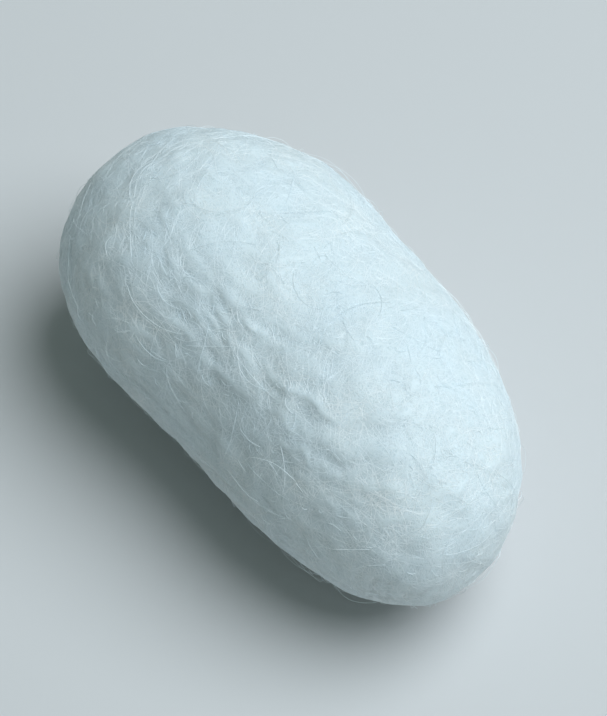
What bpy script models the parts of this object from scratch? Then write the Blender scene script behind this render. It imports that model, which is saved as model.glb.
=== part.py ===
"""A white silk cocoon, lying on its side on the small flat spots that it rests on.

The real cocoon is one thread, wound and gummed into one closed shell, so the model is one solid.
It is a blunt capsule, a little waisted, a little bent, and crinkled all over.
Metres, +Z up. +X runs along the cocoon to its narrower end, and the ground is z = 0.
"""
import math

import bmesh
import bpy
from mathutils import Matrix, Vector, noise

# Size and outline
LENGTH = 0.0360         # from end to end
WIDTH = 0.0200          # across the full sides, before the waist takes its part
END_FULLNESS = 2.3      # 2 is an ellipse, and more is a blunter end
FULLEST_AT = -0.16      # where the two end curves meet, in half lengths from the middle
WAIST = 0.068           # how much narrower the waist is, as a share of the width
WAIST_REACH = 0.35      # half its length, in half lengths
BOW = 0.0014            # how far the middle is bent out towards +Y

# Relief of the silk: slow swells, and the crinkles that the shell drew into as it dried
SWELL_SIZE = 0.0070
SWELL_HEIGHT = 0.00026
CRINKLE_SIZE = 0.0015
CRINKLE_HEIGHT = 0.00022
DRIFT_SIZE = 0.0045     # the crinkles are pulled about in patches of this size
DRIFT_PULL = 0.0014
DRIFT_SEED = 15         # sets which way they are pulled

# Where it lies
REST_DEPTH = 0.00020    # how much is pressed flat
SETTLE_TURNS = 4

# Grid of the surface
CELLS_ALONG = 45
CELLS_ACROSS = 22

SILK_COLOR = (0.80, 0.86, 0.89, 1.0)
SILK_ROUGHNESS = 0.75


def clear_scene():
    for obj in list(bpy.data.objects):
        bpy.data.objects.remove(obj, do_unlink=True)


def half_width(station):
    """Half the width at a station that runs from -1 at the broad end to 1 at the narrow end."""
    if station < FULLEST_AT:
        towards_end = (FULLEST_AT - station) / (1.0 + FULLEST_AT)
    else:
        towards_end = (station - FULLEST_AT) / (1.0 - FULLEST_AT)
    ends = max(0.0, 1.0 - towards_end**END_FULLNESS) ** (1.0 / END_FULLNESS)
    waist = 1.0 - WAIST * math.exp(-((station / WAIST_REACH) ** 2))
    return WIDTH / 2 * ends * waist


def relief(point):
    """Height of the swells and crinkles at a point of the smooth shell."""
    swell = noise.noise(point / SWELL_SIZE) * SWELL_HEIGHT
    pull = noise.noise_vector(point / DRIFT_SIZE) * DRIFT_PULL
    return swell + noise.noise((point + pull) / CRINKLE_SIZE) * CRINKLE_HEIGHT


def shell_point(direction):
    """The point of the crinkled shell that a direction from its middle stands for."""
    around = Vector((0.0, direction.y, direction.z)).normalized()
    station = max(-1.0, min(1.0, direction.x))
    point = around * half_width(station)
    point.x = station * LENGTH / 2
    point.y += BOW * (1.0 - station**2)
    outward = Vector((direction.x * WIDTH / LENGTH, direction.y, direction.z)).normalized()
    return point + outward * relief(point)


def round_cage():
    """A box grid blown up to a ball, with more cells along X, so that the cells of the shell are even."""
    cage = bmesh.new()
    bmesh.ops.create_cube(cage, size=2.0)
    for axis, cells in enumerate((CELLS_ALONG, CELLS_ACROSS, CELLS_ACROSS)):
        normal = Vector((0.0, 0.0, 0.0))
        normal[axis] = 1.0
        for step in range(1, cells):
            everything = cage.verts[:] + cage.edges[:] + cage.faces[:]
            place = normal * (2.0 * step / cells - 1.0)
            bmesh.ops.bisect_plane(cage, geom=everything, plane_co=place, plane_no=normal)
    for vert in cage.verts:
        even = [math.tan(coordinate * math.pi / 4) for coordinate in vert.co]
        vert.co = Vector(even).normalized()
    return cage


def settle(shell):
    """Tips the shell until both of its lobes touch the ground, and sets it down at z = 0."""
    for _ in range(SETTLE_TURNS):
        broad = min((vert.co for vert in shell.verts if vert.co.x < 0), key=lambda co: co.z)
        narrow = min((vert.co for vert in shell.verts if vert.co.x > 0), key=lambda co: co.z)
        tip = math.atan2(narrow.z - broad.z, narrow.x - broad.x)
        bmesh.ops.rotate(shell, verts=shell.verts, matrix=Matrix.Rotation(tip, 3, "Y"))
    lowest = min(vert.co.z for vert in shell.verts)
    bmesh.ops.translate(shell, verts=shell.verts, vec=(0.0, 0.0, -lowest - REST_DEPTH))
    for vert in shell.verts:
        vert.co.z = max(vert.co.z, 0.0)


def centre(shell):
    """Moves the shell so that the middle of its box is over the origin."""
    for axis in (0, 1):
        places = [vert.co[axis] for vert in shell.verts]
        middle = (min(places) + max(places)) / 2
        for vert in shell.verts:
            vert.co[axis] -= middle


def silk():
    material = bpy.data.materials.new("silk")
    material.use_nodes = True
    surface = material.node_tree.nodes["Principled BSDF"]
    surface.inputs["Base Color"].default_value = SILK_COLOR
    surface.inputs["Roughness"].default_value = SILK_ROUGHNESS
    surface.inputs["Metallic"].default_value = 0.0
    material.diffuse_color = SILK_COLOR
    return material


def cocoon():
    shell = round_cage()
    for vert in shell.verts:
        vert.co = shell_point(vert.co)
    settle(shell)
    centre(shell)
    bmesh.ops.recalc_face_normals(shell, faces=shell.faces)
    mesh = bpy.data.meshes.new("cocoon")
    shell.to_mesh(mesh)
    shell.free()
    mesh.shade_smooth()
    mesh.materials.append(silk())
    bpy.context.scene.collection.objects.link(bpy.data.objects.new("cocoon", mesh))


clear_scene()
noise.seed_set(DRIFT_SEED)
cocoon()
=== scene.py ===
"""Looks of the white silk cocoon: its crinkled skin, the threads that lie on it, and its loose floss.

Metres, +Z up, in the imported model's own frame.
"""
import math

import bpy
import numpy as np
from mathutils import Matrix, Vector, noise
from mathutils.bvhtree import BVHTree


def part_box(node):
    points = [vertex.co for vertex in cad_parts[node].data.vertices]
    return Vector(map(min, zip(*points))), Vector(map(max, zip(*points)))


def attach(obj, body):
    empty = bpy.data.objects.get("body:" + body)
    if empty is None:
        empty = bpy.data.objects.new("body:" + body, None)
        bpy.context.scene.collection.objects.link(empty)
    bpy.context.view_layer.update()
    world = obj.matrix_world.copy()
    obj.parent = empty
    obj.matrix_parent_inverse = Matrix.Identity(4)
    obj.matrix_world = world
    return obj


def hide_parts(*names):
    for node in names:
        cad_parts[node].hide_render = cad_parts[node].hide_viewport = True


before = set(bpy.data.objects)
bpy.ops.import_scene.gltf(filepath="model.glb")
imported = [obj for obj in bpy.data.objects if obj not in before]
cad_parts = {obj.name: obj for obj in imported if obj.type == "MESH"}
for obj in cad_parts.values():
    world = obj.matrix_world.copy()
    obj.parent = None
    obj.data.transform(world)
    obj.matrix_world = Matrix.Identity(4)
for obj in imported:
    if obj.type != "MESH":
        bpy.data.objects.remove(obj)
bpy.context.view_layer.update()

MM = 0.001
TINY = 1e-12                # the least length that a vector is divided by

# The skin's grid, in cells along and across the cocoon
CELLS_ALONG = 208
CELLS_ACROSS = 92
CHART_GAP = 4               # cells between the six parts of the skin's flat map
CHART_SHELVES = 4           # shelves of that map, which the parts lie on
FACET_ROUNDS = 16           # rounds of smoothing that take the solid's facets away

# Fine relief of the skin, on top of the solid's own crinkles
RELIEF_SEED = 1             # sets which way the fine relief is pulled
SIDE_GRAIN = 0.34           # how often bumps come along the sides, as a share of around them
GRAIN_MIDDLE = -0.15        # where the bumps are longest, in half lengths from the middle
END_GRAIN = 0.4             # how much less often they come around the ends
DRIFT_SIZE = 3.5 * MM       # the fine relief is pulled about in patches of this size
DRIFT_PULL = 0.9 * MM
PEBBLE_SIZE = 1.2 * MM      # rounded bumps with creases between them
CREASE_WIDTH = 0.75         # as a share of a bump's size
PEBBLE_HEIGHT = 0.055 * MM
CRINKLE_SIZE = 1.2 * MM
CRINKLE_HEIGHT = 0.03 * MM
PUCKER_SIZE = 0.5 * MM
PUCKER_HEIGHT = 0.012 * MM
RELIEF_SINK = 0.055 * MM    # lowers the fine relief, so that its crests reach the solid
CALM_SIZE = 6.5 * MM        # size of the patches where the fine relief is lower or higher
CALM_SHARE = 0.85           # how far it varies between them
CALM_PLACE = Vector((59.8, 38.3, 25.0))     # read here, their pattern is calm on top and rough at -Y

# The longest wrinkles on top: the height of each, then its course from above in x and y, all in mm
WRINKLES = (
    (0.095, (-4.8, -6.8), (-2.6, -6.9), (-0.2, -7.0), (1.7, -6.8), (3.6, -6.4)),
    (0.085, (-3.0, -3.7), (-0.9, -3.9), (0.9, -3.9), (3.1, -3.9)),
    (0.04, (-3.1, -5.7), (-1.2, -5.8)),
    (0.10, (4.4, -5.0), (6.5, -4.5), (8.9, -4.2)),
    (0.10, (6.1, -6.9), (7.8, -6.8), (9.4, -6.5)),
    (0.07, (9.4, -6.3), (11.5, -5.2), (13.6, -3.8)),
    (0.05, (11.9, -6.6), (14.2, -5.0), (15.7, -3.2)),
    (0.05, (15.0, -4.9), (16.5, -2.7), (17.2, -0.1)),
    (0.05, (14.1, -6.5), (16.5, -4.6), (17.7, -1.6)),
    (0.06, (-3.0, -7.7), (-0.5, -7.8)),
    (0.06, (4.3, -6.2), (5.9, -6.0)),
)
WRINKLE_WIDTH = 0.42 * MM
WRINKLE_BEND_SIZE = 1.3 * MM
WRINKLE_BEND = 0.45 * MM
WRINKLE_BREAKS = 1.3        # how far their height varies along them

# Threads that lie on the skin. Here and below, a pair of numbers is the range of a random value.
SPAN_ROUNDS = 10            # rounds of smoothing: with more, a taut thread spans wider hollows
EASE_ROUNDS = 2             # rounds after that, which ease its way over the crests
TUBE_SIDES = 3
TUBE_MARGIN = 0.1           # share of a tube's square on the flat map that is left free on each side
THREAD_PIECES = 4
THREAD_LINES = 1200         # in each piece
THREAD_STEP = 0.36 * MM
THREAD_STEPS = 23
THREAD_SWING = (0.25, 0.9)  # radians that a thread turns to each side
THREAD_WAVE = (3.5 * MM, 9.0 * MM)  # from one swing to the next
THREAD_DRIFT = 40.0         # radians per metre that it typically turns one way
THREAD_LIFT = (-0.006 * MM, 0.006 * MM)
THREAD_DIVE = 0.03 * MM     # how deep its ends sink into the skin
THREAD_DIVE_POWER = 8       # more keeps the dive closer to its ends
THREAD_WIDTH = (0.022 * MM, 0.042 * MM)
THREAD_FLATNESS = 0.35      # its height, as a share of its width
THREAD_SEED = 11            # of the first piece

# Loose silk that stands off the skin: how many lines, their steps, length and rise, and the most that they
# curl, in radians per metre
FLOSS = dict(lines=300, steps=23, length=(1.6 * MM, 6.0 * MM), rise=(0.05 * MM, 0.42 * MM), curl=500.0)
FUZZ = dict(lines=900, steps=11, length=(0.4 * MM, 1.5 * MM), rise=(0.04 * MM, 0.20 * MM), curl=1800.0)
LOOSE_WIDTH = (0.014 * MM, 0.025 * MM)
LOOSE_LEAN = (0.6, 1.6)     # below 1 the top of the arch is nearer its start
LOOSE_SEED = 5

# Colours of the silk, the painted shade in its creases, and the fine fibres drawn on it by its material
SKIN_COOL = (0.70, 0.80, 0.85, 1.0)
SKIN_WARM = (0.74, 0.81, 0.825, 1.0)
# Painted shade: the creases are drawn darker in this colour, as if shade fell in them
CREASE_SHADE_COLOR = (0.60, 0.68, 0.69, 1.0)
CREASE_SHADE_SHARE = 0.4          # how much of the painted shade the deepest crease takes on
FIBER_COLOR = (0.85, 0.925, 0.965, 1.0)
FIBER_SHARE = 0.6
THREAD_COOL = (0.86, 0.94, 0.985, 1.0)
THREAD_WARM = (0.91, 0.95, 0.96, 1.0)
PATCH_SIZE = 4.0 * MM       # of the cooler and warmer patches
PATCH_CONTRAST = 2.6        # more tells them apart more clearly
FIBER_TURNS = ((0, 0, 0), (0, 0, 55), (0, 0, 120), (0, 65, 20), (0, 120, 90), (0, 90, 0))  # degrees
FIBER_RUN = 2.6 * MM        # how long a fibre keeps its way
FIBER_GAP = 0.26 * MM       # from one to the next
FIBER_FINENESS = 13.0       # more is thinner
FIBER_BEND_SIZE = 1.6 * MM
FIBER_BEND = 0.65 * MM
FIBER_HEIGHT = 0.012 * MM

# Finish of the silk
SKIN_ROUGHNESS = 0.7
FIBER_GLOSS = 0.2           # how much less rough a fibre on it is
SKIN_SHEEN = 0.04
SKIN_SHEEN_ROUGHNESS = 0.5
SOFT_SHARE = 0.35           # how much of the light goes on inside the silk before it leaves
SOFT_DEPTH = 0.5 * MM       # how far it goes
SOFT_REACH = (1.0, 0.95, 0.9)   # of red, green and blue, as shares of that
THREAD_ROUGHNESS = 0.4
THREAD_SHEEN = 0.2

# Camera and framing: angles in degrees, lens and sensor in mm
AZIMUTH = 50.7
ELEVATION = 58.0
LENS = 300.0
SENSOR = 36.0
FRAME_HEIGHT = 44.5 * MM    # what the picture's long side takes in at the cocoon

# Light and floor. The key light's direction is given along the camera's right, up and back.
KEY_DIRECTION = (0.45, 0.47, 0.76)
KEY_DISTANCE = 0.5
KEY_SIZE = 0.46
KEY_WATTS = 2.84
KEY_COLOR = (0.845, 0.938, 1.0)
SKY_COLOR = (0.765, 1.02, 0.945, 1.0)
SKY_STRENGTH = 0.147
FLOOR_COLOR = (0.665, 0.65, 0.65, 1.0)
FLOOR_ROUGHNESS = 0.8
FLOOR_REACH = 1.5


# ---------------------------------------------------------------- surfaces as arrays

def box_lattice(cells):
    """The grid on a box's six sides, in whole cells.

    Gives its places, its quads, and each quad's corners on a flat map.
    """
    quads = []
    charts = []
    shelf_height = max(cells[1:]) + CHART_GAP
    for axis, u, v in ((0, 1, 2), (1, 2, 0), (2, 0, 1)):
        row, column = np.meshgrid(np.arange(cells[u]), np.arange(cells[v]), indexing="ij")
        flat = [k for k in range(3) if k != axis]
        for side in (0, cells[axis]):
            corners = []
            for step_u, step_v in ((0, 0), (1, 0), (1, 1), (0, 1)):
                place = np.zeros(row.shape + (3,), int)
                place[..., axis] = side
                place[..., u] = row + step_u
                place[..., v] = column + step_v
                corners.append(place.reshape(-1, 3))
            if side == 0:
                corners.reverse()       # so that these quads face outward too
            side_quads = np.stack(corners, axis=1)
            quads.append(side_quads)
            # Each long side has a shelf of the map, and the two ends stand beside the first two
            shelf = (side > 0) + 2 * (axis == 2)
            shift = cells[0] + CHART_GAP if axis == 0 else 0
            charts.append(side_quads[..., flat] + (shift, shelf_height * shelf))
    quads = np.concatenate(quads)
    charts = np.concatenate(charts) / (shelf_height * CHART_SHELVES)
    places, index = np.unique(quads.reshape(-1, 3), axis=0, return_inverse=True)
    return places, index.reshape(-1, 4), charts


def unit(vectors):
    """The vectors at length 1."""
    return vectors / np.maximum(np.linalg.norm(vectors, axis=-1, keepdims=True), TINY)


def edges_of(quads):
    """Each edge once, as pairs of point numbers."""
    pairs = np.concatenate([quads[:, [k, (k + 1) % 4]] for k in range(4)])
    return np.unique(np.sort(pairs, axis=1), axis=0)


def smoothed(values, edges, rounds):
    """The values of a surface's points, each moved half way to its neighbours' mean in every round."""
    both = np.concatenate([edges, edges[:, ::-1]])
    count = len(values)
    neighbours = np.bincount(both[:, 0], minlength=count)
    columns = values.reshape(count, -1).copy()
    for _ in range(rounds):
        for c in range(columns.shape[1]):
            total = np.bincount(both[:, 0], weights=columns[both[:, 1], c], minlength=count)
            columns[:, c] = (columns[:, c] + total / neighbours) / 2
    return columns.reshape(values.shape)


def normals_of(points, quads):
    """The outward direction at each point."""
    a, b, c, d = (points[quads[:, k]] for k in range(4))
    face = np.cross(c - a, d - b)
    total = np.zeros_like(points)
    for axis in range(3):
        for k in range(4):
            total[:, axis] += np.bincount(quads[:, k], weights=face[:, axis], minlength=len(points))
    return unit(total)


def new_piece(name, points, faces, charts, material, smooth=True):
    """A piece of silk. charts gives each face corner's place on a flat map, in the order of the faces."""
    mesh = bpy.data.meshes.new(name)
    mesh.from_pydata(points.tolist(), [], faces)
    flat_map = mesh.uv_layers.new(name="OFBake")
    flat_map.data.foreach_set("uv", charts.astype(np.float32).ravel())
    if smooth:
        mesh.shade_smooth()
    mesh.materials.append(material)
    piece = bpy.data.objects.new(name, mesh)
    bpy.context.scene.collection.objects.link(piece)
    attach(piece, "root")
    return piece


def above_ground(points, clearance=0.0):
    """The points, with those that are nearer to the ground than their clearance raised to it."""
    raised = points.copy()
    raised[..., 2] = np.maximum(points[..., 2], clearance)
    return raised


# ---------------------------------------------------------------- the skin

def solid_tree():
    """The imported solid, as a tree that rays can be cast at."""
    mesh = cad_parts["cocoon"].data
    return BVHTree.FromPolygons([v.co for v in mesh.vertices], [p.vertices for p in mesh.polygons])


def skin_base(solid):
    """The solid's form on a fine even grid, without its facets: points, quads, flat map and edges."""
    cells = (CELLS_ALONG, CELLS_ACROSS, CELLS_ACROSS)
    places, quads, charts = box_lattice(cells)
    lowest, highest = (np.array(corner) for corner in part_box("cocoon"))
    middle = Vector((lowest + highest) / 2)
    # The tangent keeps the cells even when the box is blown up to a ball
    even = np.tan((places / np.array(cells) * 2 - 1) * math.pi / 4)
    directions = unit(unit(even) * (highest - lowest) / 2)
    points = np.array([solid.ray_cast(middle, Vector(d))[0] for d in directions])
    edges = edges_of(quads)
    return smoothed(points, edges, FACET_ROUNDS), quads, charts, edges


def drape_height(relief, edges):
    """Height at which a taut thread lies: over the small hollows and down into the wide ones."""
    spanned = smoothed(relief, edges, SPAN_ROUNDS)
    return smoothed(np.maximum(spanned, relief), edges, EASE_ROUNDS)


def soft_step(share):
    """A share from 0 to 1, eased so that it starts and ends level."""
    return share * share * (3 - 2 * share)


def grained(points):
    """The points, moved so that a pattern read there runs along the cocoon's sides and around its ends."""
    half_length = np.abs(points[:, 0]).max()
    share = points[:, 0] / half_length
    from_longest = share - GRAIN_MIDDLE
    # The pattern's pace along the cocoon is SIDE_GRAIN + (1 - SIDE_GRAIN) * from_longest**2, summed up here
    along = half_length * (SIDE_GRAIN * from_longest + (1 - SIDE_GRAIN) / 3 * from_longest**3)
    around = 1 - END_GRAIN * share**2
    return np.stack([along, points[:, 1] * around, points[:, 2] * around], axis=1)


def fine_relief(points):
    """Height of the fine relief at each point: bumps, the creases between them, crinkles and puckers."""
    heights = np.empty(len(points))
    for i, (place, pattern_place) in enumerate(zip(points, grained(points))):
        p = Vector(place)
        pulled = Vector(pattern_place) + noise.noise_vector(p / DRIFT_SIZE) * DRIFT_PULL
        nearest, second = noise.voronoi(pulled / PEBBLE_SIZE)[0][:2]
        bump = soft_step(min(1.0, (second - nearest) / CREASE_WIDTH))
        height = (
            bump * PEBBLE_HEIGHT
            + noise.noise(pulled / CRINKLE_SIZE) * CRINKLE_HEIGHT
            + noise.noise(pulled / PUCKER_SIZE) * PUCKER_HEIGHT
            - RELIEF_SINK
        )
        heights[i] = height * (1 + noise.noise(p / CALM_SIZE + CALM_PLACE) * CALM_SHARE)
    return heights


def seen_from_above(solid, places):
    """The points of the solid's upper side that places in x and y, in mm, stand for."""
    high = 2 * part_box("cocoon")[1].z
    down = Vector((0, 0, -1))
    return np.array([solid.ray_cast(Vector((x * MM, y * MM, high)), down)[0] for x, y in places])


def nearest_on(course, points):
    """How far each point is from a course of straight lines, and how far along it that is, from 0 to 1."""
    distance = np.full(len(points), np.inf)
    share = np.zeros(len(points))
    for k, (start, end) in enumerate(zip(course[:-1], course[1:])):
        along = end - start
        step = np.clip((points - start) @ along / (along @ along), 0, 1)
        gap = np.linalg.norm(points - start - step[:, None] * along, axis=1)
        share = np.where(gap < distance, (k + step) / (len(course) - 1), share)
        distance = np.minimum(distance, gap)
    return distance, share


def wrinkles(points, solid):
    """Height of the long wrinkles at each point. Each is full in its middle and gone at its ends."""
    bend = np.array([noise.noise_vector(Vector(p) / WRINKLE_BEND_SIZE) for p in points])
    bent = points + bend * WRINKLE_BEND
    total = np.zeros(len(points))
    for height, *places in WRINKLES:
        distance, share = nearest_on(seen_from_above(solid, places), bent)
        crest = np.sqrt(np.sin(math.pi * share)) * height * MM
        total = np.maximum(total, crest * np.exp(-((distance / WRINKLE_WIDTH) ** 2)))
    return total * np.clip(1 + bend[:, 0] * WRINKLE_BREAKS, 0, None)


# ---------------------------------------------------------------- threads

def wander(tree, starts, headings, bends, step, count):
    """Walks each thread over a surface, count steps long, and turns it by bends(k) radians at step k.

    Gives the threads' points, and the surface's outward directions there.
    """
    place = starts.copy()
    heading = headings.copy()
    path = np.empty((len(starts), count + 1, 3))
    up = np.empty_like(path)
    for k in range(count + 1):
        near = [tree.find_nearest(Vector(p)) for p in place]
        place = np.array([hit[0] for hit in near])
        normal = np.array([hit[1] for hit in near])
        path[:, k] = place
        up[:, k] = normal
        heading = unit(heading - normal * np.sum(heading * normal, axis=1, keepdims=True))
        turn = bends(k)[:, None]
        heading = heading * np.cos(turn) + np.cross(normal, heading) * np.sin(turn)
        place = place + heading * step
    return path, up


def tube_charts(lines, count):
    """Places on a flat map for the tubes' quads and caps: a square of it for each tube."""
    squares = math.ceil(math.sqrt(lines))
    square = np.stack([np.arange(lines) % squares, np.arange(lines) // squares], axis=1)
    first_steps = np.arange(count - 1)

    def placed(steps, sides):
        """Every tube's corners on the map, from steps along the tube and sides around it."""
        along = (np.asarray(steps) + 1) / (count + 1)
        around = np.asarray(sides) / TUBE_SIDES * (1 - 2 * TUBE_MARGIN) + TUBE_MARGIN
        inside = np.stack([along, around], axis=-1).reshape(-1, 2)
        return ((square[:, None] + inside) / squares).reshape(-1, 2)

    quads = []
    for k in range(TUBE_SIDES):
        steps = np.stack([first_steps, first_steps, first_steps + 1, first_steps + 1], axis=1)
        quads.append(placed(steps, np.broadcast_to([k, k + 1, k + 1, k], steps.shape)))
    first_cap = placed([0, -0.5, 0], [1, 0.5, 0])
    last_cap = placed([count - 1, count - 0.5, count - 1], [0, 0.5, 1])
    return np.concatenate(quads + [first_cap, last_cap])


def tubes(path, up, widths, heights):
    """Closed three-sided tubes along paths: one for each row, with its half width and height."""
    lines, count = path.shape[:2]
    along = unit(np.gradient(path, axis=1))
    side = unit(np.cross(up, along))
    top = np.cross(along, side)
    corners = []
    for k in range(TUBE_SIDES):
        angle = math.radians(90 + 360 * k / TUBE_SIDES)
        across = math.cos(angle) * widths[:, None, None]
        rise = math.sin(angle) * heights[:, None, None]
        corners.append(path + side * across + top * rise)
    points = np.stack(corners, axis=2).reshape(-1, 3)
    ring = TUBE_SIDES * (np.arange(count - 1)[None, :] + count * np.arange(lines)[:, None]).reshape(-1)
    next_ring = ring + TUBE_SIDES
    quads = []
    for k in range(TUBE_SIDES):
        m = (k + 1) % TUBE_SIDES
        quads.append(np.stack([ring + k, ring + m, next_ring + m, next_ring + k], axis=1))
    first = TUBE_SIDES * count * np.arange(lines)
    last = first + TUBE_SIDES * (count - 1)
    first_cap = np.stack([first + 2, first + 1, first], axis=1)
    last_cap = np.stack([last, last + 1, last + 2], axis=1)
    faces = np.concatenate(quads).tolist() + np.concatenate([first_cap, last_cap]).tolist()
    return points, faces, tube_charts(lines, count)


def laid_threads(tree, surface, seed):
    """The outermost silk: threads that swing from side to side, as the caterpillar's head did."""
    rng = np.random.default_rng(seed)
    starts = surface[rng.integers(0, len(surface), THREAD_LINES)]
    headings = unit(rng.normal(size=(THREAD_LINES, 3)))
    swing = rng.uniform(*THREAD_SWING, THREAD_LINES)
    wave = rng.uniform(*THREAD_WAVE, THREAD_LINES)
    phase = rng.uniform(0, 2 * math.pi, THREAD_LINES)
    drift = rng.normal(0, THREAD_DRIFT, THREAD_LINES)

    def bends(k):
        pull = swing * 2 * math.pi / wave * np.cos(2 * math.pi * k * THREAD_STEP / wave + phase)
        return (pull + drift) * THREAD_STEP

    path, up = wander(tree, starts, headings, bends, THREAD_STEP, THREAD_STEPS)
    dive = THREAD_DIVE * np.abs(np.linspace(-1, 1, THREAD_STEPS + 1)) ** THREAD_DIVE_POWER
    lift = rng.uniform(*THREAD_LIFT, THREAD_LINES)[:, None] - dive
    widths = rng.uniform(*THREAD_WIDTH, THREAD_LINES) / 2
    return path + up * lift[..., None], up, widths, widths * THREAD_FLATNESS


def loose_silk(tree, surface, lines, steps, length, rise, curl):
    """Loose silk: threads that are fast at both ends and arch away from the skin between them."""
    rng = np.random.default_rng(LOOSE_SEED)
    starts = surface[rng.integers(0, len(surface), lines)]
    headings = unit(rng.normal(size=(lines, 3)))
    step = rng.uniform(*length, lines) / steps
    turn = rng.uniform(-curl, curl, lines) * step
    path, up = wander(tree, starts, headings, lambda _: turn, step[:, None], steps)
    share = np.linspace(0, 1, steps + 1)[None, :] ** rng.uniform(*LOOSE_LEAN, lines)[:, None]
    lift = np.sin(math.pi * share) * rng.uniform(*rise, lines)[:, None] - THREAD_DIVE
    widths = rng.uniform(*LOOSE_WIDTH, lines) / 2
    return path + up * lift[..., None], up, widths, widths


# ---------------------------------------------------------------- materials

class Nodes:
    """A short way to write a material's nodes."""

    def __init__(self, name):
        self.material = bpy.data.materials.new(name)
        self.material.use_nodes = True
        self.tree = self.material.node_tree
        self.surface = self.tree.nodes["Principled BSDF"]

    def set(self, **values):
        """Sets the surface's own sockets."""
        for key, value in values.items():
            self.surface.inputs[key.replace("_", " ")].default_value = value

    def link(self, output, socket):
        """Links an output to one of the surface's sockets."""
        self.tree.links.new(output, self.surface.inputs[socket])

    def add(self, kind, sockets, **settings):
        """A node with its settings, and its sockets set from numbers or linked from outputs."""
        node = self.tree.nodes.new("ShaderNode" + kind)
        for key, value in settings.items():
            setattr(node, key, value)
        for key, term in sockets.items():
            if isinstance(term, bpy.types.NodeSocket):
                self.tree.links.new(term, node.inputs[key])
            else:
                node.inputs[key].default_value = term
        return node

    def place(self):
        """Where a point lies in the cocoon's own frame."""
        return self.add("TexCoord", {}).outputs["Object"]

    def noise(self, place, size, detail=0.0):
        """Soft noise from 0 to 1, with features of this size. More detail adds finer ones."""
        return self.add("TexNoise", {"Vector": place, "Scale": 1 / size, "Detail": detail}).outputs["Fac"]

    def math(self, operation, *terms):
        """Arithmetic on outputs and numbers, kept between 0 and 1."""
        node = self.add("Math", dict(enumerate(terms)), operation=operation, use_clamp=True)
        return node.outputs["Value"]

    def blend(self, share, first, second):
        """A colour between two, by a share from 0 to 1."""
        # Several of this node's sockets have one name, so they go by number: 6 and 7 take the colours
        node = self.add("Mix", {0: share, 6: first, 7: second}, data_type="RGBA")
        return node.outputs[2]


def tone(nodes, place, cool, warm):
    """The silk's colour, which differs a little from patch to patch."""
    patch = nodes.noise(place, PATCH_SIZE, detail=2.0)
    share = nodes.math("MULTIPLY_ADD", patch, PATCH_CONTRAST, 0.5 - PATCH_CONTRAST / 2)
    return nodes.blend(share, cool, warm)


def fibers(nodes, place):
    """Where fine fibres run, from 0 to 1: level lines of noise that is drawn out in several directions."""
    pull = nodes.add("TexNoise", {"Vector": place, "Scale": 1 / FIBER_BEND_SIZE, "Detail": 0.0})
    bend = {0: pull.outputs["Color"], 1: (FIBER_BEND,) * 3, 2: place}
    bent = nodes.add("VectorMath", bend, operation="MULTIPLY_ADD").outputs["Vector"]
    lines = []
    for turn in FIBER_TURNS:
        turned = {
            "Vector": bent,
            "Rotation": [math.radians(angle) for angle in turn],
            "Scale": (FIBER_RUN, FIBER_GAP, FIBER_GAP),
        }
        drawn = nodes.add("Mapping", turned, vector_type="TEXTURE").outputs["Vector"]
        level = nodes.noise(drawn, 1.0)
        above = nodes.math("MULTIPLY_ADD", level, FIBER_FINENESS, -FIBER_FINENESS / 2)
        below = nodes.math("MULTIPLY_ADD", level, -FIBER_FINENESS, FIBER_FINENESS / 2)
        lines.append(nodes.math("SUBTRACT", 1.0, nodes.math("ADD", above, below)))
    topmost = lines[0]
    for line in lines[1:]:
        topmost = nodes.math("MAXIMUM", topmost, line)
    return topmost


def skin_material():
    """Matted silk: painted shade in the creases, patches of warmer white, and fine fibres that run all
    ways.
    """
    nodes = Nodes("silk_skin")
    nodes.set(Subsurface_Weight=SOFT_SHARE, Subsurface_Radius=SOFT_REACH, Subsurface_Scale=SOFT_DEPTH)
    nodes.set(Sheen_Weight=SKIN_SHEEN, Sheen_Roughness=SKIN_SHEEN_ROUGHNESS)
    place = nodes.place()
    lines = fibers(nodes, place)
    hollow = nodes.add("Attribute", {}, attribute_name="hollow").outputs["Fac"]
    color = tone(nodes, place, SKIN_COOL, SKIN_WARM)
    # Painted shade: the deeper the crease, the more of the darker crease colour it takes on
    color = nodes.blend(nodes.math("MULTIPLY", hollow, CREASE_SHADE_SHARE), color, CREASE_SHADE_COLOR)
    color = nodes.blend(nodes.math("MULTIPLY", lines, FIBER_SHARE), color, FIBER_COLOR)
    nodes.link(color, "Base Color")
    nodes.link(nodes.math("MULTIPLY_ADD", lines, -FIBER_GLOSS, SKIN_ROUGHNESS), "Roughness")
    bump = nodes.add("Bump", {"Strength": 1.0, "Distance": FIBER_HEIGHT, "Height": lines})
    nodes.link(bump.outputs["Normal"], "Normal")
    return nodes.material


def thread_material():
    """Clean silk thread, a little glossier than the matted skin."""
    nodes = Nodes("silk_thread")
    nodes.set(Roughness=THREAD_ROUGHNESS, Sheen_Weight=THREAD_SHEEN)
    nodes.link(tone(nodes, nodes.place(), THREAD_COOL, THREAD_WARM), "Base Color")
    return nodes.material


# ---------------------------------------------------------------- stage

def camera_axes():
    """The camera's right, up and back."""
    azimuth = math.radians(AZIMUTH)
    elevation = math.radians(ELEVATION)
    level = math.cos(elevation)
    back = Vector((math.sin(azimuth) * level, -math.cos(azimuth) * level, math.sin(elevation)))
    right = Vector((math.cos(azimuth), math.sin(azimuth), 0.0))
    return right, back.cross(right), back


def aim(obj, place, target):
    """Puts a camera or a light at a place, turned to its target."""
    obj.location = place
    obj.rotation_mode = "QUATERNION"
    obj.rotation_quaternion = (target - place).to_track_quat("-Z", "Y")


def make_camera(target):
    back = camera_axes()[2]
    data = bpy.data.cameras.new("camera")
    data.lens = LENS
    data.sensor_width = SENSOR
    camera = bpy.data.objects.new("camera", data)
    bpy.context.scene.collection.objects.link(camera)
    aim(camera, target + back * (FRAME_HEIGHT * LENS / SENSOR), target)
    bpy.context.scene.camera = camera


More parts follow.
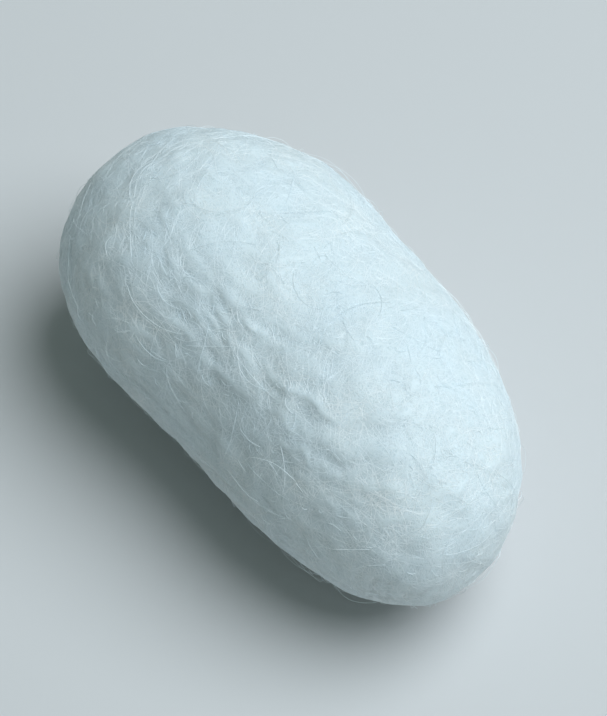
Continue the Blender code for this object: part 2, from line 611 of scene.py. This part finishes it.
def make_floor():
    nodes = Nodes("floor")
    nodes.set(Base_Color=FLOOR_COLOR, Roughness=FLOOR_ROUGHNESS)
    mesh = bpy.data.meshes.new("floor")
    corners = [(x * FLOOR_REACH, y * FLOOR_REACH, 0) for x, y in ((-1, -1), (1, -1), (1, 1), (-1, 1))]
    mesh.from_pydata(corners, [], [(0, 1, 2, 3)])
    mesh.materials.append(nodes.material)
    floor = bpy.data.objects.new("floor", mesh)
    bpy.context.scene.collection.objects.link(floor)


def make_key_light(target):
    data = bpy.data.lights.new("key", "AREA")
    data.shape = "DISK"
    data.size = KEY_SIZE
    data.energy = KEY_WATTS
    data.color = KEY_COLOR
    key = bpy.data.objects.new("key", data)
    bpy.context.scene.collection.objects.link(key)
    direction = sum((axis * share for axis, share in zip(camera_axes(), KEY_DIRECTION)), Vector())
    aim(key, target + direction.normalized() * KEY_DISTANCE, target)


def make_sky():
    world = bpy.data.worlds.new("sky")
    bpy.context.scene.world = world
    world.use_nodes = True
    sky = world.node_tree.nodes["Background"]
    sky.inputs["Color"].default_value = SKY_COLOR
    sky.inputs["Strength"].default_value = SKY_STRENGTH


# ---------------------------------------------------------------- making it all

solid = solid_tree()
base, quads, skin_charts, edges = skin_base(solid)
outward = normals_of(base, quads)
noise.seed_set(RELIEF_SEED)
relief = fine_relief(base) + wrinkles(base, solid)
skin = above_ground(base + outward * relief[:, None])
skin_piece = new_piece("cocoon_skin", skin, quads.tolist(), skin_charts, skin_material())
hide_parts("cocoon")
hollow = (relief.max() - relief) / (relief.max() - relief.min())    # 1 in the deepest crease, where the painted shade is darkest
skin_piece.data.attributes.new("hollow", "FLOAT", "POINT").data.foreach_set("value", hollow)

draped = base + outward * drape_height(relief, edges)[:, None]
drape_tree = BVHTree.FromPolygons(draped.tolist(), quads.tolist())
strands = {}
for number in range(THREAD_PIECES):
    strands[f"threads_{number + 1}"] = laid_threads(drape_tree, draped, THREAD_SEED + number)
strands["floss"] = loose_silk(drape_tree, draped, **FLOSS)
strands["fuzz"] = loose_silk(drape_tree, draped, **FUZZ)
thread_silk = thread_material()
for name, (path, up, widths, heights) in strands.items():
    # A thread's middle line stays half its width or more above the ground, so none of it is below
    points, faces, charts = tubes(above_ground(path, widths[:, None]), up, widths, heights)
    new_piece(name, points, faces, charts, thread_silk, smooth=False)

lowest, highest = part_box("cocoon")
target = (lowest + highest) / 2
make_camera(target)
make_floor()
make_key_light(target)
make_sky()
bpy.context.scene.view_settings.view_transform = "Standard"
